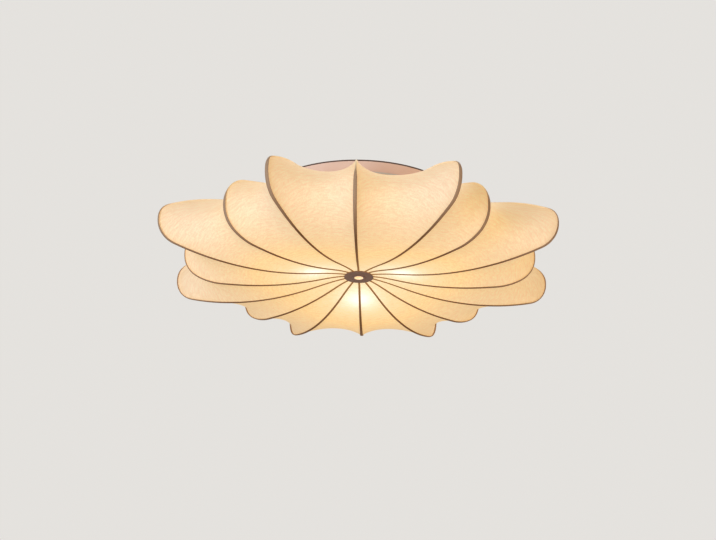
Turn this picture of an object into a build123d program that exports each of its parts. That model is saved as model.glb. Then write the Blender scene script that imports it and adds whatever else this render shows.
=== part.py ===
from build123d import *
from math import atan2, cos, dist, radians, sin, tan
import os

# Flush mount ceiling light with a scalloped fabric shade on wire ribs.
# Millimetres. The origin lies on the ceiling at the lamp's axis, +Z points up,
# and the usual viewer stands on the -Y side.

# Shade skeleton. An outline runs from the hub through its sag to the tip and back up to
# the collar. Places are (radius from the axis, height above the wires at the hub).
# Arcs round off its corners. A ratio is the share of a leg's free length that an arc takes.
hub_drop = 115.3            # ceiling to the wires at the hub
rib_wire = 3.0
rib_count = 16              # long and short ribs take turns
hub_wire_start = 10.0
hub_bend_out = 6.0          # hub disc's edge to the wires' first bend
hub_bend_radius = 40.0
collar_height = 90.0        # hub wires to the ribs' upper ends

long_reach = 300.0
long_sag_at = 178.0
long_sag = 28.0
long_sag_ratio = 0.998
long_low_corner = 10.2
long_low_ratio = 0.951
long_tip_height = 37.0
long_high_corner = 54.0
long_high_ratio = 0.868
long_shoulder_in = 50.0
long_shoulder_height = 74.5
long_shoulder_ratio = 0.725

short_reach = 253.0
short_sag_at = 116.5
short_sag = 20.6
short_sag_ratio = 0.84
short_knee_in = 37.4
short_knee_sag = 13.4
short_knee_ratio = 0.96
short_low_corner = 7.7
short_low_ratio = 0.912
short_tip_height = 32.7
short_high_corner = 69.0
short_high_ratio = 0.97

stray_rib = 13              # one long rib stands off its even place
stray_turn = 4.8            # degrees

# Fabric between the ribs
fabric = 0.8
fabric_gap = 0.3            # to the wires, the hub and the collar
fold_in = 13.0              # short tips to the fabric's waist between two ribs
fold_sag_at = 154.5
fold_sag = 24.1
fold_sag_ratio = 0.968
fold_low_corner = 6.6
fold_low_ratio = 0.904
fold_tip_height = 28.4
fold_high_corner = 54.0
fold_high_ratio = 0.876
lower_stations = 9
upper_stations = 6

# Hub
hub_disc_radius = 21.0
hub_disc_thickness = 1.0
hub_plate_radius = 18.0
hub_plate_thickness = 1.2
solder_gap = 0.1            # between a wire and the plates that hold it
eyelet_bore = 12.0
eyelet_wall = 0.8
eyelet_rim = 2.5
eyelet_rim_thickness = 0.8

# Canopy and ceiling bracket
canopy_radius = 147.5
canopy_sheet = 1.0
canopy_gap = 2.0            # shadow gap between the rim and the ceiling
canopy_height = 32.0
canopy_corner = 4.0
bracket_length = 224.0
bracket_width = 20.0
bracket_sheet = 2.0
ceiling_screw_spacing = 80.0
ceiling_screw_hole = 5.2
cable_hole = 16.0
stud_spacing = 200.0
spacer_across = 7.0
stud_thread = 4.0
cap_nut_across = 7.0
cap_nut_height = 8.0
cap_nut_flats = 3.6          # height of its hexagon
cap_nut_thread = 5.6         # depth of its bore
thread_clearance = 0.1
hole_clearance = 0.3

# Shade collar and its thumbscrews
collar_clearance = 0.6
collar_sheet = 1.2
collar_below = 7.0
collar_above = 5.0
ear_width = 14.0
ear_height = 6.0
ear_corner = 5.0
ear_angles = (101.25, 221.25, 341.25)
thumbscrew_thread = 4.0
thumbscrew_above = 1.8      # its axis above the collar's edge
thumbscrew_head = 10.0
thumbscrew_head_length = 6.0
thumbscrew_neck = 1.0       # head to nut
thumbscrew_tip_gap = 0.3
knurl_count = 18
knurl_depth = 0.4
weld_nut_across = 7.0
weld_nut_height = 3.0

# Lampholder cluster
lamp_angles = (90, 210, 330)
lamp_drop = 66.0            # ceiling to the lamps' axes
nipple_thread = 10.0
nipple_bore = 7.0
nipple_overhang = 2.5       # past each of its nuts
lock_nut_across = 14.0
lock_nut_height = 3.0
spider_sheet = 1.5
spider_arm = 12.0           # axis to the inner face of a leg
spider_leg_width = 18.0
spider_leg_corner = 8.5
holder_length = 36.0
holder_radius = 14.0
holder_rear_radius = 10.0
holder_taper = 6.0
holder_neck_overhang = 0.5
holder_wire_bore = 4.0
holder_floor = 10.0
socket_clearance = 0.3

# Lamps
cap_radius = 7.0
contact_radius = 2.4
contact_length = 1.2
globe_radius = 22.5
globe_from_mouth = 30.5
globe_neck_radius = 9.0
globe_neck_length = 1.5
cap_inset = 1.5             # cap's edge inside the holder's mouth

# Terminals and inner wires
wire_thickness = 2.4
wire_ring = 1.9             # wires round the nipple's axis
wire_bend = 7.2
wire_crown = 15.0           # ceiling to the wires' highest run
terminal_place = 44.0
terminal_length = 14.0
terminal_width = 30.0
terminal_height = 11.0
terminal_pitch = 9.0
terminal_screw_radius = 1.6
terminal_screw_inset = 3.6
terminal_screw_depth = 3.0
terminal_slot_width = 0.6
terminal_slot_depth = 0.6
terminal_corner = 1.0
earth_screw_place = 65.0
earth_head_radius = 3.8
earth_head_height = 2.6
earth_slot_width = 1.0
earth_slot_depth = 1.0


def write(node, shape):
    export_step(shape, f"parts/{node}.step")


def turned(shape, angle):
    return shape.rotate(Axis.Z, angle)


def rod(radius, low, high):
    """Upright cylinder between two heights."""
    return Pos(0, 0, low) * Cylinder(radius, high - low, align=(Align.CENTER, Align.CENTER, Align.MIN))


def tube(outer, inner, low, high):
    return rod(outer, low, high) - rod(inner, low, high)


def hexagon(across, low, high):
    flat = RegularPolygon(across / 2, 6, major_radius=False)
    return Pos(0, 0, low) * extrude(flat, high - low)


def outward(shape, angle, height):
    """Lay a shape built along +Z on a radius of the lamp, at a height."""
    return turned(Pos(0, 0, height) * Rot(0, 90, 0) * shape, angle)


collar_outer = canopy_radius + collar_clearance + collar_sheet
hub_bend = (hub_disc_radius + hub_bend_out, 0)
fold_reach = short_reach - fold_in


def arc_radius(before, corner, after, taken):
    """Radius of the arc that rounds off a corner and takes a length of each of its legs."""
    heading = atan2(corner[1] - before[1], corner[0] - before[0])
    turn = atan2(after[1] - corner[1], after[0] - corner[0]) - heading
    return taken / tan(turn / 2)


def lower_half(reach, sag, sag_ratio, low_corner, low_ratio, tip_height, knee=None, knee_ratio=0):
    """Points and arc radii of an outline from its sag to its tip."""
    tip = (reach, tip_height)
    corner = (reach, low_corner)
    last = knee or sag
    taken = low_ratio * (tip_height - low_corner)
    radii = [arc_radius(last, corner, tip, taken)]
    points = [corner, tip]
    if knee:
        taken = knee_ratio * (dist(knee, corner) - taken)
        radii.insert(0, arc_radius(sag, knee, corner, taken))
        points.insert(0, knee)
    taken = sag_ratio * min(dist(sag, points[0]) - taken, dist(hub_bend, sag) - hub_bend_out)
    radii.insert(0, arc_radius(hub_bend, sag, points[0], taken))
    return [sag] + points, [hub_bend_radius] + radii


def upper_half(reach, tip_height, high_corner, high_ratio, shoulder=None, shoulder_ratio=0):
    """Points and arc radii of an outline from its tip to its last corner."""
    tip = (reach, tip_height)
    corner = (reach, high_corner)
    collar = (collar_outer, collar_height)
    taken = high_ratio * (high_corner - tip_height)
    points = [tip, corner]
    radii = [arc_radius(tip, corner, shoulder or collar, taken)]
    if shoulder:
        taken = shoulder_ratio * (dist(corner, shoulder) - taken)
        points.append(shoulder)
        radii.append(arc_radius(corner, shoulder, collar, taken))
    return points, radii


long_low, long_low_radii = lower_half(
    long_reach, (long_sag_at, -long_sag), long_sag_ratio,
    long_low_corner, long_low_ratio, long_tip_height,
)
long_high, long_high_radii = upper_half(
    long_reach, long_tip_height, long_high_corner, long_high_ratio,
    (long_reach - long_shoulder_in, long_shoulder_height), long_shoulder_ratio,
)
short_low, short_low_radii = lower_half(
    short_reach, (short_sag_at, -short_sag), short_sag_ratio,
    short_low_corner, short_low_ratio, short_tip_height,
    (short_reach - short_knee_in, -short_knee_sag), short_knee_ratio,
)
short_high, short_high_radii = upper_half(
    short_reach, short_tip_height, short_high_corner, short_high_ratio,
)
fold_low, fold_low_radii = lower_half(
    fold_reach, (fold_sag_at, -fold_sag), fold_sag_ratio,
    fold_low_corner, fold_low_ratio, fold_tip_height,
)
fold_high, fold_high_radii = upper_half(
    fold_reach, fold_tip_height, fold_high_corner, fold_high_ratio,
)

long_outline = (long_low, long_low_radii, long_high, long_high_radii)
short_outline = (short_low, short_low_radii, short_high, short_high_radii)
fold_outline = (fold_low, fold_low_radii, fold_high, fold_high_radii)


def upright(points):
    """Outline points as points of the XZ plane, in the lamp's frame."""
    return [(r, 0, z - hub_drop) for r, z in points]


def collar_point(high, radius):
    """The point at a radius on an outline's last leg, which runs to the collar."""
    (r, z) = high[-1]
    slope = (collar_height - z) / (r - collar_outer)
    return (radius, z + slope * (r - radius))


def rib(outline):
    low, low_radii, high, high_radii = outline
    start = [(hub_wire_start, 0), hub_bend]
    end = collar_point(high, collar_outer - collar_sheet / 2)
    path = FilletPolyline(
        *upright(start + low[:-1] + high[1:] + [end]), radius=low_radii + high_radii
    )
    ring = Plane(origin=path @ 0, z_dir=path % 0) * Circle(rib_wire / 2)
    return sweep(ring, path=path) - rod(collar_outer, -hub_drop, 0)


def rib_angle(number):
    stray = stray_turn if number % rib_count == stray_rib else 0
    return number * 360 / rib_count + stray


def edge_lines(outline, start_radius, end_radius):
    """Lower and upper line of an outline, cut to two radii."""
    low, low_radii, high, high_radii = outline
    start = [(start_radius, 0), hub_bend]
    lower = FilletPolyline(*upright(start + low), radius=low_radii)
    upper = FilletPolyline(*upright(high + [collar_point(high, end_radius)]), radius=high_radii)
    return lower, upper


def stations(lines):
    lower, upper = lines
    rise = [lower @ (n / lower_stations) for n in range(lower_stations)]
    return rise + [upper @ (n / upper_stations) for n in range(upper_stations + 1)]


def placed(point, angle, aside):
    """Turn a point of the XZ plane to an angle and move it sideways of that plane."""
    a = radians(angle)
    return Vector(
        point.X * cos(a) - aside * sin(a), point.X * sin(a) + aside * cos(a), point.Z
    )


def bowed_strip(a, b, fold, depth_way):
    """Closed section of the fabric: a bow from a to b through the fold, and its inner side."""
    control = fold * 2 - (a + b) / 2
    across = (b - a).normalized()
    inward = depth_way - across * depth_way.dot(across)
    step = inward.normalized() * fabric
    outer = Bezier(a, control, b)
    inner = Bezier(b + step, control + step, a + step)
    return Wire([outer, Line(b, b + step), inner, Line(a + step, a)])


def gore(number):
    """Fabric from one rib to the next, drawn in between them."""
    first, second = rib_angle(number), rib_angle(number + 1)
    if second < first:
        second += 360
    middle = (first + second) / 2
    half = radians((second - first) / 2)
    spread = (half / radians(180 / rib_count)) ** 2     # a wider gap draws the fabric in deeper
    aside = rib_wire / 2 + fabric_gap + fabric
    inner = (hub_disc_radius + fabric_gap) / cos(half)
    outer = (collar_outer + fabric_gap + fabric) / cos(half)
    outlines = (short_outline, long_outline) if number % 2 == 0 else (long_outline, short_outline)
    starts, ends = [stations(edge_lines(outline, inner, outer)) for outline in outlines]
    folds = stations(edge_lines(fold_outline, inner, outer))
    sections = []
    for n, (start, end, fold) in enumerate(zip(starts, ends, folds)):
        a = placed(start, first, aside)
        b = placed(end, second, -aside)
        at_edge = n in (0, len(folds) - 1)
        chord = (a + b) / 2
        deep = chord if at_edge else chord + (placed(fold, middle, 0) - chord) * spread
        before, after = folds[max(n - 1, 0)], folds[min(n + 1, len(folds) - 1)]
        along = after - before
        sections.append(bowed_strip(a, b, deep, placed(Vector(-along.Z, 0, along.X), middle, 0)))
    return Solid.make_loft(sections)


def build_shade():
    long_rib = rib(long_outline)
    short_rib = rib(short_outline)
    for number in range(rib_count):
        kind, shape = ("short", short_rib) if number % 2 == 0 else ("long", long_rib)
        write(f"rib_{kind}_{number // 2 + 1}", turned(shape, rib_angle(number)))
        write(f"fabric_gore_{number + 1}", gore(number))


def build_hub():
    wires_low = -hub_drop - rib_wire / 2 - solder_gap
    wires_high = -hub_drop + rib_wire / 2 + solder_gap
    eyelet_outer = eyelet_bore / 2 + eyelet_wall
    hole = eyelet_outer + thread_clearance
    disc_low = wires_low - hub_disc_thickness
    plate_high = wires_high + hub_plate_thickness
    write("hub_disc", tube(hub_disc_radius, hole, disc_low, wires_low))
    write("hub_plate", tube(hub_plate_radius, hole, wires_high, plate_high))
    barrel = rod(eyelet_outer, disc_low, plate_high)
    lower_rim = rod(eyelet_outer + eyelet_rim, disc_low - eyelet_rim_thickness, disc_low)
    upper_rim = rod(eyelet_outer + eyelet_rim, plate_high, plate_high + eyelet_rim_thickness)
    bore = rod(
        eyelet_bore / 2, disc_low - eyelet_rim_thickness, plate_high + eyelet_rim_thickness
    )
    write("hub_eyelet", barrel + lower_rim + upper_rim - bore)


def build_canopy():
    low = -canopy_gap - canopy_height
    inner_face = low + canopy_sheet
    pan = rod(canopy_radius, low, -canopy_gap)
    pan = fillet(pan.edges().group_by(Axis.Z)[0], canopy_corner)
    hollow = rod(canopy_radius - canopy_sheet, inner_face, -canopy_gap)
    hollow = fillet(hollow.edges().group_by(Axis.Z)[0], canopy_corner - canopy_sheet)
    holes = rod(nipple_thread / 2 + hole_clearance, low, inner_face)
    for side in (-1, 1):
        holes += Pos(side * stud_spacing / 2, 0, 0) * rod(
            stud_thread / 2 + hole_clearance, low, inner_face
        )
    write("canopy", pan - hollow - holes)

    strap = Pos(0, 0, -bracket_sheet / 2) * Box(bracket_length, bracket_width, bracket_sheet)
    strap = fillet(strap.edges().filter_by(Axis.Z), bracket_width / 4)
    cuts = rod(cable_hole / 2, -bracket_sheet, 0)
    studs = []
    nuts = []
    for side in (-1, 1):
        cuts += Pos(side * ceiling_screw_spacing / 2, 0, 0) * rod(
            ceiling_screw_hole / 2, -bracket_sheet, 0
        )
        place = Pos(side * stud_spacing / 2, 0, 0)
        cuts += place * rod(stud_thread / 2, -bracket_sheet, 0)
        thread_end = low - cap_nut_thread
        spacer = hexagon(spacer_across, inner_face, -bracket_sheet)
        studs.append(place * (spacer + rod(stud_thread / 2, thread_end, 0)))
        flats_low = low - cap_nut_flats
        nut = hexagon(cap_nut_across, flats_low, low)
        crown = Pos(0, 0, flats_low) * Sphere(cap_nut_across / 2)
        crown = crown & rod(cap_nut_across, low - cap_nut_height, flats_low)
        bore = rod(stud_thread / 2 + thread_clearance, thread_end, low)
        nuts.append(place * (nut + crown - bore))
    earth = Pos(-earth_screw_place, 0, 0)
    cuts += earth * rod(stud_thread / 2, -bracket_sheet, 0)
    write("ceiling_bracket", strap - cuts)
    write("bracket_studs", Compound(children=studs))
    write("canopy_cap_nuts", Compound(children=nuts))
    head = rod(earth_head_radius, -bracket_sheet - earth_head_height, -bracket_sheet)
    slot = Box(2 * earth_head_radius, earth_slot_width, 2 * earth_slot_depth)
    slot = Pos(0, 0, -bracket_sheet - earth_head_height) * slot
    write("earth_screw", earth * (head + rod(stud_thread / 2, -bracket_sheet, 0) - slot))


def build_collar():
    wires_end = collar_height - hub_drop
    low, high = wires_end - collar_below, wires_end + collar_above
    inner = canopy_radius + collar_clearance
    axis_height = high + thumbscrew_above
    ring = tube(collar_outer, inner, low, high)
    ear_band = tube(collar_outer, inner, low, high + ear_height)
    window = Box(6 * collar_sheet, ear_width, high + ear_height - low)
    window = Pos(collar_outer, 0, (low + high + ear_height) / 2) * window
    top_edges = window.edges().filter_by(Axis.X).group_by(Axis.Z)[-1]
    window = fillet(top_edges, ear_corner)
    ear = ear_band & window
    bolt_bore = thumbscrew_thread / 2 + thread_clearance
    clear = outward(rod(bolt_bore, inner - collar_sheet, collar_outer + collar_sheet), 0, axis_height)
    collar = ring
    for angle in ear_angles:
        collar = collar + turned(ear, angle) - turned(clear, angle)
    write("top_collar", collar)

    nut_out = collar_outer + weld_nut_height
    nut = hexagon(weld_nut_across, collar_outer, nut_out)
    nut -= rod(bolt_bore, collar_outer, nut_out)
    write(
        "collar_weld_nuts",
        Compound(children=[outward(nut, angle, axis_height) for angle in ear_angles]),
    )

    head_in = nut_out + thumbscrew_neck
    head = rod(thumbscrew_head / 2, head_in, head_in + thumbscrew_head_length)
    head = chamfer(head.edges().group_by(Axis.Z)[-1], knurl_depth)
    groove = Cylinder(knurl_depth, thumbscrew_head_length, align=(Align.CENTER, Align.CENTER, Align.MIN))
    for n in range(knurl_count):
        head -= Rot(0, 0, n * 360 / knurl_count) * Pos(thumbscrew_head / 2, 0, head_in) * groove
    shank = rod(thumbscrew_thread / 2, canopy_radius + thumbscrew_tip_gap, head_in)
    for number, angle in enumerate(ear_angles, 1):
        write(f"thumbscrew_{number}", outward(head + shank, angle, axis_height))


def revolved(profile):
    """Solid of revolution about the vertical axis from (radius, height) points."""
    outline = Polyline(*[(r, 0, z) for r, z in profile], close=True)
    return revolve(make_face(outline), Axis.Z)


def build_lamps():
    plate_top = -canopy_gap - canopy_height
    plate_low = plate_top - spider_sheet
    canopy_inside = plate_top + canopy_sheet
    leg_low = -lamp_drop - spider_leg_width / 2
    rear = spider_arm + spider_sheet
    mouth = rear + holder_length

    nipple = tube(
        nipple_thread / 2,
        nipple_bore / 2,
        plate_low - lock_nut_height - nipple_overhang,
        canopy_inside + lock_nut_height + nipple_overhang,
    )
    write("cluster_nipple", nipple)

    nut_bore = nipple_thread / 2 + thread_clearance
    lock_nut = hexagon(lock_nut_across, 0, lock_nut_height) - rod(nut_bore, 0, lock_nut_height)
    nuts = [Pos(0, 0, canopy_inside) * lock_nut, Pos(0, 0, plate_low - lock_nut_height) * lock_nut]
    for angle in lamp_angles:
        nuts.append(outward(Pos(0, 0, spider_arm - lock_nut_height) * lock_nut, angle, -lamp_drop))
    write("lock_nuts", Compound(children=nuts))

    plate = Pos(0, 0, plate_low) * extrude(
        RegularPolygon(rear, 3, rotation=lamp_angles[0] + 180, major_radius=False), spider_sheet
    )
    plate = plate & rod(rear * 1.35, plate_low, plate_top)
    spider = plate - rod(nipple_thread / 2 + hole_clearance, plate_low, plate_top)
    for angle in lamp_angles:
        leg = Pos(rear - spider_sheet / 2, 0, (plate_top + leg_low) / 2) * Box(
            spider_sheet, spider_leg_width, plate_top - leg_low
        )
        leg = fillet(leg.edges().filter_by(Axis.X).group_by(Axis.Z)[0], spider_leg_corner)
        hole = rod(nipple_thread / 2 + hole_clearance, 0, rear + spider_sheet)
        spider = spider + turned(leg, angle) - outward(hole, angle, -lamp_drop)
    write("lampholder_spider", spider)

    neck_end = spider_arm - lock_nut_height - holder_neck_overhang
    bore = cap_radius + socket_clearance
    floor = rear + holder_floor
    profile = [
        (holder_wire_bore / 2, neck_end),
        (nipple_thread / 2, neck_end),
        (nipple_thread / 2, rear),
        (holder_rear_radius, rear),
        (holder_radius, rear + holder_taper),
        (holder_radius, mouth),
        (bore, mouth),
        (bore, floor),
        (0, floor),
        (0, rear),
        (holder_wire_bore / 2, rear),
    ]
    holder = revolved(profile)

    contact_end = floor + socket_clearance
    cap_start = contact_end + contact_length
    cap_end = mouth - cap_inset
    cap = rod(cap_radius, cap_start, cap_end)
    cap = chamfer(cap.edges().group_by(Axis.Z)[0], contact_length) + rod(
        contact_radius, contact_end, cap_start
    )
    centre = mouth + globe_from_mouth
    ball = Pos(0, 0, centre) * Sphere(globe_radius)
    shoulder = centre - globe_radius * 0.8
    flare = revolved(
        [
            (0, cap_end),
            (cap_radius, cap_end),
            (cap_radius, mouth + socket_clearance),
            (globe_neck_radius, mouth + globe_neck_length),
            (globe_radius * 0.6, shoulder),
            (0, shoulder),
        ]
    )
    globe = ball + flare
    for number, angle in enumerate(lamp_angles, 1):
        write(f"lampholder_{number}", outward(holder, angle, -lamp_drop))
        write(f"bulb_cap_{number}", outward(cap, angle, -lamp_drop))
        write(f"bulb_globe_{number}", outward(globe, angle, -lamp_drop))
    build_wiring(canopy_inside, rear)


def build_wiring(canopy_inside, rear):
    block_low = canopy_inside
    block = Pos(terminal_place + terminal_length / 2, 0, block_low + terminal_height / 2) * Box(
        terminal_length, terminal_width, terminal_height
    )
    block = fillet(block.edges().filter_by(Axis.Z), terminal_corner)
    screws = []
    wires = []
    entry = block_low + terminal_height / 2
    for number, angle in enumerate(lamp_angles):
        side = (1, -1, 0)[number] * terminal_pitch
        a = radians(angle)
        start = (rear * cos(a), rear * sin(a), -lamp_drop)
        turn = (wire_ring * cos(a), wire_ring * sin(a), -lamp_drop)
        top = (wire_ring * cos(a), wire_ring * sin(a), -wire_crown)
        over = (terminal_place * 0.55, side * 0.7, -wire_crown)
        dip = (terminal_place * 0.85, side, entry)
        end = (terminal_place, side, entry)
        path = FilletPolyline(
            start, turn, top, over, dip, end, radius=[wire_bend, wire_bend, wire_bend, wire_bend]
        )
        ring = Plane(origin=path @ 0, z_dir=path % 0) * Circle(wire_thickness / 2)
        wires.append(sweep(ring, path=path))
        for inset in (terminal_screw_inset, terminal_length - terminal_screw_inset):
            top_face = block_low + terminal_height
            pocket = rod(terminal_screw_radius, top_face - terminal_screw_depth, top_face)
            spot = Pos(terminal_place + inset, side, 0)
            block -= spot * pocket
            slot = Box(2 * terminal_screw_radius, terminal_slot_width, 2 * terminal_slot_depth)
            slot = Pos(0, 0, top_face) * slot
            screws.append(spot * (pocket - slot))
    write("terminal_block", block)
    write("terminal_screws", Compound(children=screws))
    write("lamp_wires", Compound(children=wires))


os.makedirs("parts", exist_ok=True)
build_canopy()
build_collar()
build_lamps()
build_hub()
build_shade()
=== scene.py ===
from math import cos, pi, radians, sin

import bpy
import numpy as np
from mathutils import Matrix, Vector


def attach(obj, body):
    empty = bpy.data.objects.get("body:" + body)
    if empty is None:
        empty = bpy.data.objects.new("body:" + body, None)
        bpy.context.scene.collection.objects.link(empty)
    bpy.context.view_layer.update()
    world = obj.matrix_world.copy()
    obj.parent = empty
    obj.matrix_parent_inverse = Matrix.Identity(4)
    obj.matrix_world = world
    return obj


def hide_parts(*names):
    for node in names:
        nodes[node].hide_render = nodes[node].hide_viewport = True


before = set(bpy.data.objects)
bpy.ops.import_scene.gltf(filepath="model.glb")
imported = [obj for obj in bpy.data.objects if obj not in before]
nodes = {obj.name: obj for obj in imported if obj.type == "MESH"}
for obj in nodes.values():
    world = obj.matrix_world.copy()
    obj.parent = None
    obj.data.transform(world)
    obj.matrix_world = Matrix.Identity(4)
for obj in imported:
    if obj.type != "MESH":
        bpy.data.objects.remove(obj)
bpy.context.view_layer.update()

# Wire of the ribs
rib_count = 16
wire_radius = 0.0015
tip_band = 0.002            # depth of the outermost points that give a rib's direction
slice_half = 0.0002         # half thickness of the slice that is read for a rib's middle line
spot_corners = 4            # corners that mark one spot of that line, at least
line_start = pi * 0.97      # turn added so that a rib's points sort from the hub onwards
line_points = 400           # on a rib's middle line
soft_radius = 0.040         # up to which the bend at the hub is softened in full
soft_fade = 0.040           # width over which the softening fades out
bend_passes = 350           # easing passes at that bend
line_passes = 12            # and along the whole line

# Coat of the ribs, which also stands for the wire's painted shadow in the cloth
cover_rings = 150           # along a rib
cover_sides = 12            # round it
cover_depth_hub = 0.0011    # half depth at the hub, and from the tip on
cover_depth_tip = 0.0007
cover_half_hub = 0.0015     # half width at the hub, at the tip and on the upper leg
cover_half_tip = 0.0027
cover_half_top = 0.0012

# Cloth
gore_rows_low = 44          # along a rib, hub to tip
gore_rows_high = 26         # along a rib, tip to collar
gore_columns = 17           # from rib to rib
hem_radius = 0.0196         # the cloth starts between the hub's plates
collar_radius = 0.1496      # and ends at the collar
pull_low = 0.85             # tension across the ribs over the tension along them, up to the tips
pull_high = 0.32            # and behind them
pull_change = 0.06          # share of the rows over which one gives way to the other
weave_shift = 0.31          # from one gore's weave to the next
weave_low, weave_high = 0.42, 0.58      # values that the weave's noise mostly stays between

# Light of the lamps in the cloth
glow_even = 0.3             # part that doesn't depend on the slope of the cloth to the lamp
glow_facing = 0.7           # part that does
glow_distance = 0.055       # from a lamp at which cloth that faces it glows at 1
hot_spot_size = 0.0115      # of the place where a lamp shows through
rib_shade_strength = 0.35        # painted shade: warmer, darker cloth beside the ribs
rib_shade_width = 0.010          # over which it fades away from a rib
rib_shade_radius = 0.12          # from which it comes in
rib_shade_fade = 0.12            # width over which it grows to its full strength

# Paint
hole_radius = 0.0062        # of the hub's eyelet, where the light comes out
rim_shadow_height = 0.0041         # below the ceiling, down to which the canopy's rim is painted dark for the shadow of its gap to the ceiling
canopy_wall = 0.147         # radius between the inside and the outside of the canopy's wall
paint_edge = 0.0002         # half width of the change from one paint to the next

# Room
backdrop_glow = 0.7         # share of its colour that the floor shows to the camera by itself
floor_height = -2.35
floor_half = 6              # half the side of the floor
light_target = (0, 0, -0.07)            # middle of the lamp


# Measures taken from the frame

def turn_about_axis(points, angle):
    c, s = cos(angle), sin(angle)
    x, y, z = np.moveaxis(np.asarray(points, float), -1, 0)
    return np.stack([c * x - s * y, s * x + c * y, z], -1)


def node_points(node):
    mesh = nodes[node].data
    points = np.empty(len(mesh.vertices) * 3)
    mesh.vertices.foreach_get("co", points)
    return points.reshape(-1, 3)


def rib_angle(node):
    """Direction of a rib from the axis, from its outermost points."""
    points = node_points(node)
    reach = np.hypot(points[:, 0], points[:, 1])
    tip = points[reach > reach.max() - tip_band].mean(axis=0)
    return float(np.arctan2(tip[1], tip[0]))


def wire_line(node):
    """Middle line of a rib's wire as (radius, height) points, hub first."""
    mesh = nodes[node].data
    angle = rib_angle(node)
    corners = np.empty(len(mesh.loops), int)
    mesh.loops.foreach_get("vertex_index", corners)
    normals = np.empty(len(mesh.loops) * 3)
    mesh.corner_normals.foreach_get("vector", normals)
    inside = node_points(node)[corners] - wire_radius * normals.reshape(-1, 3)
    inside = turn_about_axis(inside, -angle)
    flat = inside[np.abs(inside[:, 1]) < slice_half][:, [0, 2]]
    spots, counts = np.unique(np.round(flat, 4), axis=0, return_counts=True)
    spots = spots[counts >= spot_corners]
    middle = np.array([0.5 * spots[:, 0].max(), 0.5 * (spots[:, 1].min() + spots[:, 1].max())])
    round_middle = np.arctan2(spots[:, 1] - middle[1], spots[:, 0] - middle[0])
    order = np.argsort(np.mod(round_middle + line_start, 2 * pi))
    return spots[order]


def spaced(line, count):
    """A line resampled to a count of even steps."""
    steps = np.r_[0, np.cumsum(np.linalg.norm(np.diff(line, axis=0), axis=1))]
    places = np.linspace(0, steps[-1], count)
    return np.stack([np.interp(places, steps, line[:, k]) for k in range(line.shape[1])], -1)


def eased(line, passes):
    """A line with its small corners rounded off, ends kept."""
    line = line.copy()
    for _ in range(passes):
        line[1:-1] = 0.25 * line[:-2] + 0.5 * line[1:-1] + 0.25 * line[2:]
    return line


def rib_curve(node):
    """Whole middle line of a rib, hub first, with the bend where it leaves the hub plates softened."""
    line = spaced(wire_line(node), line_points)
    share = np.clip((line[:, :1] - soft_radius) / soft_fade, 0, 1)
    share[int(line[:, 0].argmax()):] = 1
    return eased(share * line + (1 - share) * eased(line, bend_passes), line_passes)


def rib_line(node):
    """Edge of the cloth on a rib, from the hub to the collar, with the tip at row gore_rows_low."""
    line = rib_curve(node)
    line = line[line[:, 0] > hem_radius]
    tip = int(line[:, 0].argmax())
    low, high = line[: tip + 1], line[tip:]
    high = high[high[:, 0] > collar_radius]
    low = spaced(low, gore_rows_low + 1)
    high = spaced(high, gore_rows_high + 1)
    return np.vstack([low, high[1:]])


def lifted(line, angle):
    """(radius, height) points set up in the plane at an angle."""
    return np.stack([line[:, 0] * cos(angle), line[:, 0] * sin(angle), line[:, 1]], -1)


def lamp_centres():
    """Middle of each lamp's round globe."""
    centres = []
    for number in (1, 2, 3):
        points = node_points(f"bulb_globe_{number}")
        middle = points.mean(axis=0)
        way = np.array([middle[0], middle[1], 0]) / np.hypot(middle[0], middle[1])
        low, high = points[:, 2].min(), points[:, 2].max()
        radius = (high - low) / 2
        reach = (points @ way).max() - radius
        centres.append(way * reach + np.array([0, 0, (low + high) / 2]))
    return np.array(centres)


# Cloth

def stretched(first, second, angle_first, angle_second):
    """Cloth between two ribs, as a net whose points are each pulled by their neighbours."""
    rows, columns = len(first), gore_columns
    grid = np.empty((rows, columns, 3))
    for column in range(columns):
        share = column / (columns - 1)
        line = first * (1 - share) + second * share
        grid[:, column] = lifted(line, angle_first * (1 - share) + angle_second * share)
    along = np.linalg.norm(np.diff(grid, axis=0), axis=2)
    across = np.linalg.norm(np.diff(grid, axis=1), axis=2)
    row = np.arange(rows)
    turn_over = 1 / (1 + np.exp(-(row - gore_rows_low) / (pull_change * rows)))
    pull = pull_low * (1 - turn_over) + pull_high * turn_over
    width = np.pad(across, ((0, 0), (1, 1)), mode="edge")
    width = (width[:, :-1] + width[:, 1:]) / 2
    length = np.pad(along, ((1, 1), (0, 0)), mode="edge")
    length = (length[:-1] + length[1:]) / 2
    force_along = (width[:-1] + width[1:]) / 2 / along
    force_across = pull[:, None] * (length[:, :-1] + length[:, 1:]) / 2 / across

    index = np.arange(rows * columns).reshape(rows, columns)
    matrix = np.zeros((rows * columns, rows * columns))
    pairs = [
        (index[:-1].ravel(), index[1:].ravel(), force_along.ravel()),
        (index[:, :-1].ravel(), index[:, 1:].ravel(), force_across.ravel()),
    ]
    for one, two, force in pairs:
        np.add.at(matrix, (one, two), -force)
        np.add.at(matrix, (two, one), -force)
        np.add.at(matrix, (one, one), force)
        np.add.at(matrix, (two, two), force)
    held = np.zeros((rows, columns), bool)
    held[[0, -1]] = True
    held[:, [0, -1]] = True
    held = held.ravel()
    points = grid.reshape(-1, 3)
    pulled = -matrix[np.ix_(~held, held)] @ points[held]
    points[~held] = np.linalg.solve(matrix[np.ix_(~held, ~held)], pulled)
    return points.reshape(rows, columns, 3)


def grid_normals(grid):
    along = np.gradient(grid, axis=0)
    across = np.gradient(grid, axis=1)
    normals = np.cross(across, along)
    return normals / np.linalg.norm(normals, axis=2, keepdims=True)


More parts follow.
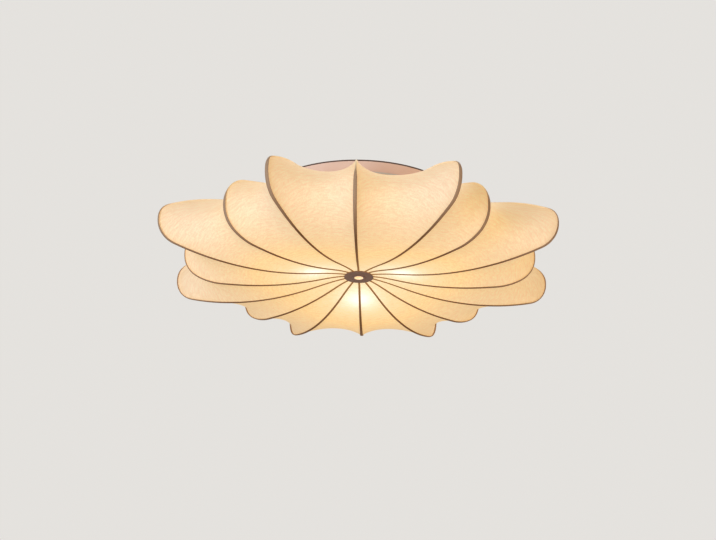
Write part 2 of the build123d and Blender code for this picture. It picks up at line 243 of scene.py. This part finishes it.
def glow_at(points, normals, centres):
    """Lamp light that reaches the cloth from inside."""
    glow = np.zeros(points.shape[:-1])
    for centre in centres:
        way = centre - points
        distance = np.linalg.norm(way, axis=-1)
        facing = np.abs((way * normals).sum(axis=-1)) / distance
        glow += (glow_even + glow_facing * facing) * (glow_distance / distance) ** 2
    return glow


def hot_spot_at(points, centres, nearest):
    """Where a lamp shows through the cloth: 1 at the point nearest to it, and small around."""
    hot = np.zeros(points.shape[:-1])
    for centre, near in zip(centres, nearest):
        distance = np.linalg.norm(points - centre, axis=-1)
        hot += np.exp((near ** 2 - distance ** 2) / (2 * hot_spot_size ** 2))
    return hot


# Mesh helpers

def new_mesh(name, points, faces, smooth=True):
    mesh = bpy.data.meshes.new(name)
    mesh.from_pydata([tuple(p) for p in points], [], faces)
    mesh.update()
    piece = bpy.data.objects.new(name, mesh)
    bpy.context.scene.collection.objects.link(piece)
    if smooth:
        mesh.shade_smooth()
    return piece


def grid_faces(rows, columns):
    faces = []
    for row in range(rows - 1):
        for column in range(columns - 1):
            a = row * columns + column
            faces.append((a, a + 1, a + columns + 1, a + columns))
    return faces


def set_attribute(mesh, name, values):
    attribute = mesh.attributes.new(name, "FLOAT", "POINT")
    attribute.data.foreach_set("value", np.asarray(values, float).ravel())


def set_uv(mesh, across, along):
    """UV map in metres, from values given for each vertex."""
    layer = mesh.uv_layers.new(name="cloth")
    corners = np.empty(len(mesh.loops), int)
    mesh.loops.foreach_get("vertex_index", corners)
    pairs = np.stack([np.ravel(across)[corners], np.ravel(along)[corners]], -1)
    layer.data.foreach_set("uv", pairs.ravel())


# Materials

def material(name):
    made = bpy.data.materials.new(name)
    made.use_nodes = True
    tree = made.node_tree
    return made, tree, tree.nodes["Principled BSDF"]


def add(tree, kind, **settings):
    node = tree.nodes.new(kind)
    for key, value in settings.items():
        if key in node.inputs:
            node.inputs[key].default_value = value
        else:
            setattr(node, key, value)
    return node


def link(tree, out_node, out_name, in_node, in_name):
    tree.links.new(out_node.outputs[out_name], in_node.inputs[in_name])


def ramp(tree, stops):
    node = tree.nodes.new("ShaderNodeValToRGB")
    elements = node.color_ramp.elements
    while len(elements) < len(stops):
        elements.new(0.5)
    for element, (place, colour) in zip(elements, stops):
        element.position = place
        element.color = (*colour, 1)
    return node


def noise(tree, place, scale, detail, roughness=0.5):
    """Noise in the object's own coordinates."""
    node = add(tree, "ShaderNodeTexNoise", Scale=scale, Detail=detail, Roughness=roughness)
    link(tree, place, "Object", node, "Vector")
    return node


def scaled(tree, source, name, low, high, to_low=0.0, to_high=1.0):
    """The range from low to high turned into the range from to_low to to_high."""
    ends = {"From Min": low, "From Max": high, "To Min": to_low, "To Max": to_high}
    node = add(tree, "ShaderNodeMapRange", **ends)
    link(tree, source, name, node, "Value")
    return node


def product(tree, one, one_name, two, two_name):
    node = add(tree, "ShaderNodeVectorMath", operation="MULTIPLY")
    link(tree, one, one_name, node, 0)
    link(tree, two, two_name, node, 1)
    return node


def axis_radius(tree, place):
    """Distance from the lamp's axis, as the output Value."""
    flat = add(tree, "ShaderNodeVectorMath", operation="MULTIPLY")
    flat.inputs[1].default_value = (1, 1, 0)
    link(tree, place, "Object", flat, 0)
    radius = add(tree, "ShaderNodeVectorMath", operation="LENGTH")
    link(tree, flat, "Vector", radius, 0)
    return radius


def bump(tree, shader, height_node, height_name, strength, distance):
    node = add(tree, "ShaderNodeBump", Strength=strength, Distance=distance)
    link(tree, height_node, height_name, node, "Height")
    link(tree, node, "Normal", shader, "Normal")


def cloth_material():
    """Ivory cloth with a crinkled weave, painted shade that makes it warmer and darker beside the ribs,
    and the light of the lamps that shows through it.
    """
    made, tree, shader = material("stretched_silk")
    place = add(tree, "ShaderNodeUVMap", uv_map="cloth")

    def streaks(scale, detail, roughness):
        turned = add(tree, "ShaderNodeMapping", Scale=scale)
        link(tree, place, "UV", turned, "Vector")
        grain = add(tree, "ShaderNodeTexNoise", Scale=1.0, Detail=detail, Roughness=roughness)
        grain.inputs["Distortion"].default_value = 0.45
        link(tree, turned, "Vector", grain, "Vector")
        return grain

    crinkle = streaks((95, 340, 1), 6.0, 0.70)      # runs across a gore
    threads = streaks((700, 260, 1), 4.0, 0.65)     # runs along it
    weave = add(tree, "ShaderNodeMix", data_type="FLOAT", Factor=0.38)
    link(tree, crinkle, "Fac", weave, "A")
    link(tree, threads, "Fac", weave, "B")

    shade = ramp(tree, [(weave_low, (0.61, 0.485, 0.385)), (weave_high, (0.72, 0.595, 0.51))])
    link(tree, weave, "Result", shade, "Fac")
    # Painted shade: the cloth beside the ribs is drawn warmer and darker.
    rib_shade = add(tree, "ShaderNodeAttribute", attribute_name="rib_shade")
    rib_shaded = add(tree, "ShaderNodeMix", data_type="RGBA", B=(0.60, 0.38, 0.19, 1))
    link(tree, rib_shade, "Fac", rib_shaded, "Factor")
    link(tree, shade, "Color", rib_shaded, "A")
    link(tree, rib_shaded, "Result", shader, "Base Color")

    glow = add(tree, "ShaderNodeAttribute", attribute_name="glow")
    thin = scaled(tree, weave, "Result", weave_low, weave_high, 0.91, 1.07)
    warm = ramp(tree, [
        (0.05, (0.49, 0.315, 0.13)),
        (0.15, (0.53, 0.335, 0.12)),
        (0.30, (0.68, 0.405, 0.10)),
        (0.60, (0.70, 0.49, 0.20)),
        (1.00, (0.80, 0.68, 0.44)),
    ])
    link(tree, glow, "Fac", warm, "Fac")
    hot = add(tree, "ShaderNodeAttribute", attribute_name="hot")
    white = add(tree, "ShaderNodeMix", data_type="RGBA", B=(1.0, 0.95, 0.80, 1))
    link(tree, hot, "Fac", white, "Factor")
    link(tree, warm, "Color", white, "A")
    lit = product(tree, white, "Result", thin, "Result")
    link(tree, lit, "Vector", shader, "Emission Color")
    shader.inputs["Emission Strength"].default_value = 1.0
    shader.inputs["Roughness"].default_value = 0.85
    shader.inputs["Sheen Weight"].default_value = 0.1
    bump(tree, shader, weave, "Result", 0.5, 0.0011)
    return made


def cover_material():
    """The coat's taupe with painted shade and light along it: the wire's painted shadow in the lit
    cloth makes it brown at the hub and darkest on its way out, it is taupe at the tip, and behind the
    tip it is pale with painted light from the lit ceiling, with a painted glow besides.
    """
    made, tree, shader = material("rib_coat_shadow_and_glow")
    place = add(tree, "ShaderNodeTexCoord")
    weave = noise(tree, place, 900.0, 4.0, 0.6)
    reach = add(tree, "ShaderNodeAttribute", attribute_name="reach")
    # Painted shadow and light: dark along the hub leg for the wire's shadow in the cloth, pale behind
    # the tip for the lit ceiling's light.
    coat_shadow_and_light = ramp(tree, [
        (0.00, (0.36, 0.19, 0.075)),
        (0.14, (0.22, 0.105, 0.04)),
        (0.30, (0.13, 0.062, 0.026)),
        (0.43, (0.36, 0.235, 0.15)),
        (0.56, (0.46, 0.31, 0.20)),
        (0.61, (0.74, 0.61, 0.45)),
    ])
    link(tree, reach, "Fac", coat_shadow_and_light, "Fac")
    grain = scaled(tree, weave, "Fac", 0.35, 0.65, 0.86, 1.14)
    mottled = product(tree, coat_shadow_and_light, "Color", grain, "Result")
    link(tree, mottled, "Vector", shader, "Base Color")
    # Painted glow: emission at the hub and, strongest, behind the tip.
    warm = ramp(tree, [
        (0.00, (0.14, 0.06, 0.012)),
        (0.20, (0.055, 0.018, 0.002)),
        (0.54, (0.055, 0.018, 0.002)),
        (0.61, (0.36, 0.25, 0.11)),
    ])
    link(tree, reach, "Fac", warm, "Fac")
    link(tree, warm, "Color", shader, "Emission Color")
    shader.inputs["Emission Strength"].default_value = 1.0
    shader.inputs["Roughness"].default_value = 0.75
    bump(tree, shader, weave, "Fac", 0.4, 0.0003)
    return made


def coated_metal(name, dark, light, roughness, metallic=0.0):
    """Painted or plated metal: colour and gloss vary a little over a fine grain."""
    made, tree, shader = material(name)
    place = add(tree, "ShaderNodeTexCoord")
    cloud = noise(tree, place, 22.0, 5.0, 0.55)
    shade = ramp(tree, [(0.3, dark), (0.7, light)])
    link(tree, cloud, "Fac", shade, "Fac")
    link(tree, shade, "Color", shader, "Base Color")
    skin = noise(tree, place, 260.0, 3.0)
    gloss = scaled(tree, skin, "Fac", 0.0, 1.0, roughness * 0.85, min(1.0, roughness * 1.2))
    link(tree, gloss, "Result", shader, "Roughness")
    shader.inputs["Metallic"].default_value = metallic
    bump(tree, shader, skin, "Fac", 0.2, 0.00012)
    return made


def eyelet_material():
    """Dark flange, and a painted glow in the bore: pale colour and emission inside the hole stand for
    the lit inside of the shade seen through it.
    """
    made, tree, shader = material("hub_eyelet_and_bore_glow")
    place = add(tree, "ShaderNodeTexCoord")
    radius = axis_radius(tree, place)
    outside = scaled(tree, radius, "Value", hole_radius, hole_radius + 2 * paint_edge)
    skin = noise(tree, place, 300.0, 3.0)
    dark = ramp(tree, [(0.3, (0.27, 0.15, 0.11)), (0.7, (0.33, 0.19, 0.145))])
    link(tree, skin, "Fac", dark, "Fac")
    # Painted glow: the bore is drawn pale and given emission for the light from inside the shade.
    colour = add(tree, "ShaderNodeMix", data_type="RGBA", A=(0.90, 0.76, 0.60, 1))
    link(tree, outside, "Result", colour, "Factor")
    link(tree, dark, "Color", colour, "B")
    link(tree, colour, "Result", shader, "Base Color")
    light = add(tree, "ShaderNodeMix", data_type="RGBA", A=(0.42, 0.30, 0.18, 1), B=(0, 0, 0, 1))
    link(tree, outside, "Result", light, "Factor")
    link(tree, light, "Result", shader, "Emission Color")
    shader.inputs["Emission Strength"].default_value = 1.0
    shader.inputs["Roughness"].default_value = 0.4
    bump(tree, shader, skin, "Fac", 0.2, 0.0001)
    return made


def canopy_material():
    """Warm white paint with a painted glow on the outside of its wall for the warm light from the lit
    shade and ceiling, and a painted shadow line at its rim, where the gap to the ceiling lies in shade.
    """
    made = coated_metal("canopy_paint", (0.71, 0.60, 0.52), (0.77, 0.66, 0.57), 0.42)
    tree = made.node_tree
    shader = tree.nodes["Principled BSDF"]
    place = add(tree, "ShaderNodeTexCoord")
    split = add(tree, "ShaderNodeSeparateXYZ")
    link(tree, place, "Object", split, "Vector")
    # Painted shadow: dark near the rim, where the gap to the ceiling lies in shade.
    rim_shadow = scaled(tree, split, "Z", -rim_shadow_height - paint_edge, -rim_shadow_height + paint_edge)
    paint = shader.inputs["Base Color"].links[0].from_socket
    colour = add(tree, "ShaderNodeMix", data_type="RGBA", B=(0.10, 0.05, 0.03, 1))
    link(tree, rim_shadow, "Result", colour, "Factor")
    tree.links.new(paint, colour.inputs["A"])
    link(tree, colour, "Result", shader, "Base Color")
    # Painted glow on the outside of the wall, left off the rim's painted shadow.
    outside = add(tree, "ShaderNodeMath", operation="GREATER_THAN")
    link(tree, axis_radius(tree, place), "Value", outside, 0)
    outside.inputs[1].default_value = canopy_wall
    clear = add(tree, "ShaderNodeMath", operation="SUBTRACT", use_clamp=True)
    link(tree, outside, "Value", clear, 0)
    link(tree, rim_shadow, "Result", clear, 1)
    shader.inputs["Emission Color"].default_value = (0.20, 0.045, 0.0, 1)
    link(tree, clear, "Value", shader, "Emission Strength")
    return made


def opal_material():
    """Lit opal glass, kept dim enough for its round form to show."""
    made, tree, shader = material("opal_lit_glass")
    place = add(tree, "ShaderNodeTexCoord")
    cloud = noise(tree, place, 60.0, 3.0)
    warm = ramp(tree, [(0.2, (0.92, 0.76, 0.52)), (0.8, (0.96, 0.84, 0.64))])
    link(tree, cloud, "Fac", warm, "Fac")
    link(tree, warm, "Color", shader, "Base Color")
    link(tree, warm, "Color", shader, "Emission Color")
    shader.inputs["Emission Strength"].default_value = 0.6
    shader.inputs["Roughness"].default_value = 0.25
    return made


def backdrop_material(name, colour):
    """Pale surface that shows most of its colour to the camera whatever the light."""
    made, tree, shader = material(name)
    place = add(tree, "ShaderNodeTexCoord")
    cloud = noise(tree, place, 3.0, 4.0)
    shade = ramp(tree, [(0.3, tuple(0.97 * c for c in colour)), (0.7, colour)])
    link(tree, cloud, "Fac", shade, "Fac")
    link(tree, shade, "Color", shader, "Base Color")
    shader.inputs["Roughness"].default_value = 0.9
    link(tree, shade, "Color", shader, "Emission Color")
    path = add(tree, "ShaderNodeLightPath")
    seen = add(tree, "ShaderNodeMath", operation="MULTIPLY")
    link(tree, path, "Is Camera Ray", seen, 0)
    seen.inputs[1].default_value = backdrop_glow
    link(tree, seen, "Value", shader, "Emission Strength")
    return made


def dress(node, made):
    """Gives a carried-over node its material."""
    nodes[node].data.materials.clear()
    nodes[node].data.materials.append(made)


# Shade

def build_gore(number, grid, cloth, centres, nearest):
    rows, columns = grid.shape[:2]
    piece = new_mesh(f"shade_cloth_{number + 1}", grid.reshape(-1, 3), grid_faces(rows, columns))
    across = np.linalg.norm(np.diff(grid, axis=1, prepend=grid[:, :1]), axis=2).cumsum(axis=1)
    to_rib = np.minimum(across, across[:, -1:] - across)
    across -= across[:, -1:] / 2
    along = np.linalg.norm(np.diff(grid, axis=0, prepend=grid[:1]), axis=2).cumsum(axis=0)
    set_uv(piece.data, across + number * weave_shift, along)
    set_attribute(piece.data, "glow", glow_at(grid, grid_normals(grid), centres))
    set_attribute(piece.data, "hot", hot_spot_at(grid, centres, nearest))
    # Painted shade beside the ribs, on the outer part of the cloth.
    outward = np.clip((np.hypot(grid[..., 0], grid[..., 1]) - rib_shade_radius) / rib_shade_fade, 0, 1)
    set_attribute(piece.data, "rib_shade", rib_shade_strength * outward * np.exp(-to_rib / rib_shade_width))
    piece.data.materials.append(cloth)
    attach(piece, "shade")
    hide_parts(f"fabric_gore_{number + 1}")


def build_rib_and_shadow_band(number, node, angle, coat):
    """A rib's wire with its coat, from the hub plates to the collar: flattened and wider at the tip, so
    that the band also stands for the wire's painted shadow in the cloth.
    """
    line = spaced(rib_curve(node), cover_rings)
    tip = int(line[:, 0].argmax())
    row = np.arange(cover_rings)
    reach = np.where(row <= tip, row / tip, 1 + (row - tip) / (cover_rings - 1 - tip))
    swell = np.array([0, 0.12, 0.35, 0.8, 1, 0.8])
    widths = np.r_[cover_half_hub + swell * (cover_half_tip - cover_half_hub), [cover_half_top] * 2]
    half_width = np.interp(reach, [0, 0.35, 0.62, 0.80, 0.92, 1.04, 1.14, 1.4], widths)
    half_depth = np.interp(reach, [0.3, 0.9], [cover_depth_hub, cover_depth_tip])[:, None]
    tangent = np.gradient(line, axis=0)
    tangent /= np.linalg.norm(tangent, axis=1, keepdims=True)
    outward = np.stack([tangent[:, 1], -tangent[:, 0]], -1)
    rings = []
    for step in range(cover_sides):
        turn = 2 * pi * step / cover_sides
        flat = line + outward * half_depth * cos(turn)
        ring = np.stack([flat[:, 0], half_width * sin(turn), flat[:, 1]], -1)
        rings.append(turn_about_axis(ring, angle))
    points = np.stack(rings, axis=1).reshape(-1, 3)
    faces = []
    for row in range(cover_rings - 1):
        start = row * cover_sides
        for step in range(cover_sides):
            a, b = start + step, start + (step + 1) % cover_sides
            faces.append((a, b, b + cover_sides, a + cover_sides))
    faces.append(tuple(range(cover_sides))[::-1])
    faces.append(tuple((cover_rings - 1) * cover_sides + step for step in range(cover_sides)))
    piece = new_mesh(f"rib_and_shadow_band_{number + 1}", points, faces)
    set_attribute(piece.data, "reach", np.repeat(reach / 2, cover_sides))
    piece.data.materials.append(coat)
    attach(piece, "shade")
    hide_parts(node)


def build_shade():
    cloth = cloth_material()
    coat = cover_material()
    centres = lamp_centres()
    ribs = []
    for number in range(rib_count):
        kind = "short" if number % 2 == 0 else "long"
        node = f"rib_{kind}_{number // 2 + 1}"
        angle = rib_angle(node) % (2 * pi)
        if number == 0 and angle > pi:
            angle -= 2 * pi
        ribs.append((rib_line(node), angle))
        build_rib_and_shadow_band(number, node, angle, coat)
    grids = []
    for number in range(rib_count):
        (first, angle_first), (second, angle_second) = ribs[number], ribs[(number + 1) % rib_count]
        if angle_second < angle_first:
            angle_second += 2 * pi
        grids.append(stretched(first, second, angle_first, angle_second))
    points = np.stack(grids).reshape(-1, 3)
    nearest = [np.linalg.norm(points - centre, axis=1).min() for centre in centres]
    for number, grid in enumerate(grids):
        build_gore(number, grid, cloth, centres, nearest)


def dress_metal():
    white = coated_metal("white_paint", (0.74, 0.66, 0.58), (0.80, 0.72, 0.64), 0.42)
    zinc = coated_metal("zinc_plate", (0.50, 0.50, 0.51), (0.66, 0.66, 0.68), 0.38, 1.0)
    brass = coated_metal("brass", (0.62, 0.44, 0.18), (0.80, 0.62, 0.30), 0.3, 1.0)
    bronze = coated_metal("dark_bronze_paint", (0.27, 0.15, 0.11), (0.33, 0.19, 0.145), 0.5)
    cap_metal = coated_metal("lamp_cap_metal", (0.62, 0.62, 0.64), (0.76, 0.76, 0.78), 0.3, 1.0)
    moulding = coated_metal("white_moulding", (0.74, 0.73, 0.70), (0.82, 0.81, 0.78), 0.5)
    sleeve = coated_metal("wire_sleeve", (0.72, 0.71, 0.69), (0.80, 0.80, 0.78), 0.6)
    opal = opal_material()
    dressed = (
        (white, ("top_collar", "canopy_cap_nuts", "collar_weld_nuts")),
        (zinc, ("ceiling_bracket", "bracket_studs", "earth_screw", "lampholder_spider")),
        (brass, ("cluster_nipple", "lock_nuts", "terminal_screws")),
        (bronze, ("hub_disc", "hub_plate")),
        (eyelet_material(), ("hub_eyelet",)),
        (canopy_material(), ("canopy",)),
        (moulding, ("terminal_block",)),
        (sleeve, ("lamp_wires",)),
    )
    for made, names in dressed:
        for node in names:
            dress(node, made)
    for number in (1, 2, 3):
        dress(f"thumbscrew_{number}", white)
        dress(f"lampholder_{number}", moulding)
        dress(f"bulb_cap_{number}", cap_metal)
        dress(f"bulb_globe_{number}", opal)


# Room

def build_room():
    ends = (-floor_half, floor_half)
    corners = [(x, y, floor_height) for x in ends for y in ends]
    floor = new_mesh("floor", corners, [(0, 2, 3, 1)], smooth=False)
    floor.data.materials.append(backdrop_material("pale_floor", (0.80, 0.79, 0.77)))
    world = bpy.data.worlds.new("studio")
    bpy.context.scene.world = world
    world.use_nodes = True
    tree = world.node_tree
    light = tree.nodes["Background"]
    light.inputs["Color"].default_value = (1.0, 0.94, 0.86, 1)
    light.inputs["Strength"].default_value = 0.28
    seen = add(tree, "ShaderNodeBackground")
    seen.inputs["Color"].default_value = (0.78, 0.76, 0.73, 1)
    seen.inputs["Strength"].default_value = 1.0
    path = add(tree, "ShaderNodeLightPath")
    mix = add(tree, "ShaderNodeMixShader")
    link(tree, path, "Is Camera Ray", mix, "Fac")
    link(tree, light, "Background", mix, 1)
    link(tree, seen, "Background", mix, 2)
    link(tree, mix, "Shader", tree.nodes["World Output"], "Surface")


def build_light(name, place, size, power, colour):
    data = bpy.data.lights.new(name, "AREA")
    data.size = size
    data.energy = power
    data.color = colour
    light = bpy.data.objects.new(name, data)
    light.location = place
    way = Vector(light_target) - Vector(place)
    light.rotation_euler = way.to_track_quat("-Z", "Y").to_euler()
    bpy.context.scene.collection.objects.link(light)


def build_camera():
    lamp_turn = radians(1.77)       # the lamp's own turn about its axis, seen in the photograph
    roll = radians(1.355)
    rise = radians(22.55)
    hub_height = -0.1174
    aside, away, below_hub = -0.0014, -2.2834, 0.9370
    place = Vector((aside, away, hub_height - below_hub))
    forward = Vector((0, cos(rise), sin(rise)))
    right = forward.cross(Vector((0, 0, 1))).normalized()
    up = right.cross(forward)
    tilted_right = cos(roll) * right + sin(roll) * up
    tilted_up = cos(roll) * up - sin(roll) * right
    axes = Matrix((tilted_right, tilted_up, -forward)).transposed().to_4x4()
    data = bpy.data.cameras.new("camera")
    data.sensor_width = 36.0
    data.lens = 86.3
    camera = bpy.data.objects.new("camera", data)
    camera.matrix_world = Matrix.Rotation(lamp_turn, 4, "Z") @ Matrix.Translation(place) @ axes
    bpy.context.scene.collection.objects.link(camera)
    bpy.context.scene.camera = camera


build_camera()
build_shade()
dress_metal()
build_room()
build_light("key", (-1.5, -2.3, -0.55), 1.6, 46, (0.72, 0.85, 1.0))
build_light("fill", (2.0, -1.2, -1.6), 1.8, 19, (1.0, 0.72, 0.38))
build_light("top", (0.6, 1.2, 1.6), 1.8, 30, (1.0, 0.97, 0.93))
bpy.context.scene.view_settings.view_transform = "Standard"
